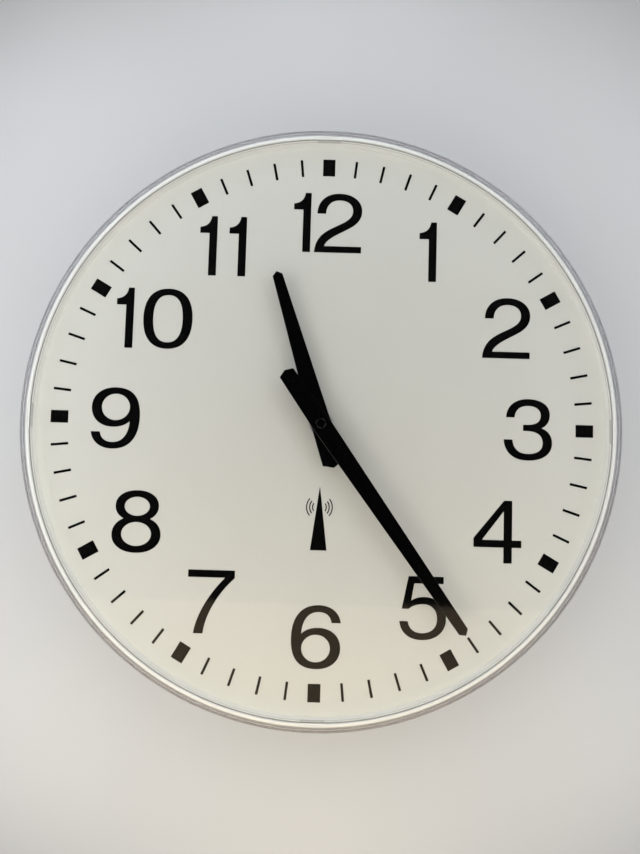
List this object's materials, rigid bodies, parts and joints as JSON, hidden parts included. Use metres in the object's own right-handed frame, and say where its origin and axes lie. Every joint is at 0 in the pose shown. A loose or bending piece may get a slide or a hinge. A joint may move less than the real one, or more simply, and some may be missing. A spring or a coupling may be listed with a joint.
{
  "type": "wall clock",
  "caption": "Round wall clock with a clear cover, a white dial with plain numbers, two black hands and a radio-controlled battery movement that hangs by a keyhole plate.",
  "frame": {"origin": "the clock's axis where it meets the wall plane, at the rear rim's height", "axes": "-Y towards the viewer, +Z to 12 o'clock, +X to 3 o'clock; +Y points into the wall"},
  "size_m": [0.4, 0.0413, 0.4],
  "materials": {
    "white_plastic": "satin moulded",
    "dial_white": "matt printed sheet",
    "clear_cover": "clear, polished",
    "hand_black": "painted matt black",
    "black_plastic": "moulded",
    "steel": "nickel-plated",
    "brass": "machined",
    "rubber": "matt",
    "acetal": "moulded",
    "copper": "enamelled wire",
    "ferrite": "sintered",
    "board_green": "solder mask",
    "cell_wrap": "satin sleeve"
  },
  "bodies": {
    "clock_case": {"rear_case": "white_plastic", "dial_plate": "dial_white", "spacer_ring": "white_plastic", "hanger_plate": "steel", "hanger_screw_1": "steel", "hanger_screw_2": "steel", "threaded_bushing": "brass", "fixing_nut": "brass", "fixing_washer": "steel", "rubber_gasket": "rubber", "movement_front_case": "black_plastic", "movement_back_cover": "black_plastic", "gear_bridge": "acetal", "motor_stator": "steel", "motor_core": "steel", "coil_bobbin": "black_plastic", "motor_coil": "copper", "stator_screw_1": "steel", "stator_screw_2": "steel", "circuit_board": "board_green", "receiver_chip": "black_plastic", "clock_crystal": "steel", "receiver_crystal": "steel", "position_sensor": "black_plastic", "antenna_rod": "ferrite", "antenna_coil": "copper", "positive_contact": "steel", "negative_contact": "steel", "switch_dome_1": "steel", "switch_dome_2": "steel", "switch_dome_3": "steel"},
    "minute_hand_set": {"minute_hand": "hand_black", "minute_collet": "brass", "hand_cap": "black_plastic", "minute_arbor": "acetal", "minute_wheel": "acetal"},
    "hour_hand_set": {"hour_hand": "hand_black", "hour_collet": "brass", "hour_wheel": "acetal"},
    "change_wheel": {"minute_change_wheel": "acetal"},
    "intermediate": {"intermediate_wheel": "acetal"},
    "rotor": {"rotor_magnet": "ferrite", "rotor_pinion": "acetal"},
    "cover": {"front_lens": "clear_cover"},
    "battery": {"battery_cell": "cell_wrap"},
    "set_key": {"set_button": "acetal"},
    "signal_key": {"signal_button": "acetal"},
    "reset_key": {"reset_button": "acetal"}
  },
  "joints": [
    {"name": "minute_hand_spin", "type": "hinge", "parent": "clock_case", "child": "minute_hand_set", "pos_m": [0, 0, 0], "axis": [0, 1, 0], "continuous": true},
    {"name": "hour_hand_spin", "type": "hinge", "parent": "clock_case", "child": "hour_hand_set", "pos_m": [0, 0, 0], "axis": [0, 1, 0], "continuous": true},
    {"name": "minute_change_spin", "type": "hinge", "parent": "clock_case", "child": "change_wheel", "pos_m": [-0.011, 0, 0], "axis": [0, 1, 0], "continuous": true},
    {"name": "intermediate_spin", "type": "hinge", "parent": "clock_case", "child": "intermediate", "pos_m": [0, 0, 0.0136], "axis": [0, 1, 0], "continuous": true},
    {"name": "rotor_spin", "type": "hinge", "parent": "clock_case", "child": "rotor", "pos_m": [-0.00935, 0, 0.019], "axis": [0, 1, 0], "continuous": true},
    {"name": "lens_slide", "type": "slide", "parent": "clock_case", "child": "cover", "axis": [0, -1, 0], "range_m": [0, 0.03]},
    {"name": "battery_slide", "type": "slide", "parent": "clock_case", "child": "battery", "axis": [0, 1, 0], "range_m": [0, 0.02]},
    {"name": "set_button_press", "type": "slide", "parent": "clock_case", "child": "set_key", "axis": [0, -1, 0], "range_m": [0, 0.0005], "stiffness_N_per_m": 600, "springref_m": -0.0015},
    {"name": "signal_button_press", "type": "slide", "parent": "clock_case", "child": "signal_key", "axis": [0, -1, 0], "range_m": [0, 0.0005], "stiffness_N_per_m": 600, "springref_m": -0.0015},
    {"name": "reset_button_press", "type": "slide", "parent": "clock_case", "child": "reset_key", "axis": [0, -1, 0], "range_m": [0, 0.0005], "stiffness_N_per_m": 600, "springref_m": -0.0015}
  ],
  "couplings": [
    {"joint": "hour_hand_spin", "follows": "minute_hand_spin", "ratio": 0.083333},
    {"joint": "minute_change_spin", "follows": "minute_hand_spin", "ratio": -0.33333},
    {"joint": "intermediate_spin", "follows": "minute_hand_spin", "ratio": -7.5},
    {"joint": "rotor_spin", "follows": "minute_hand_spin", "ratio": 60}
  ]
}
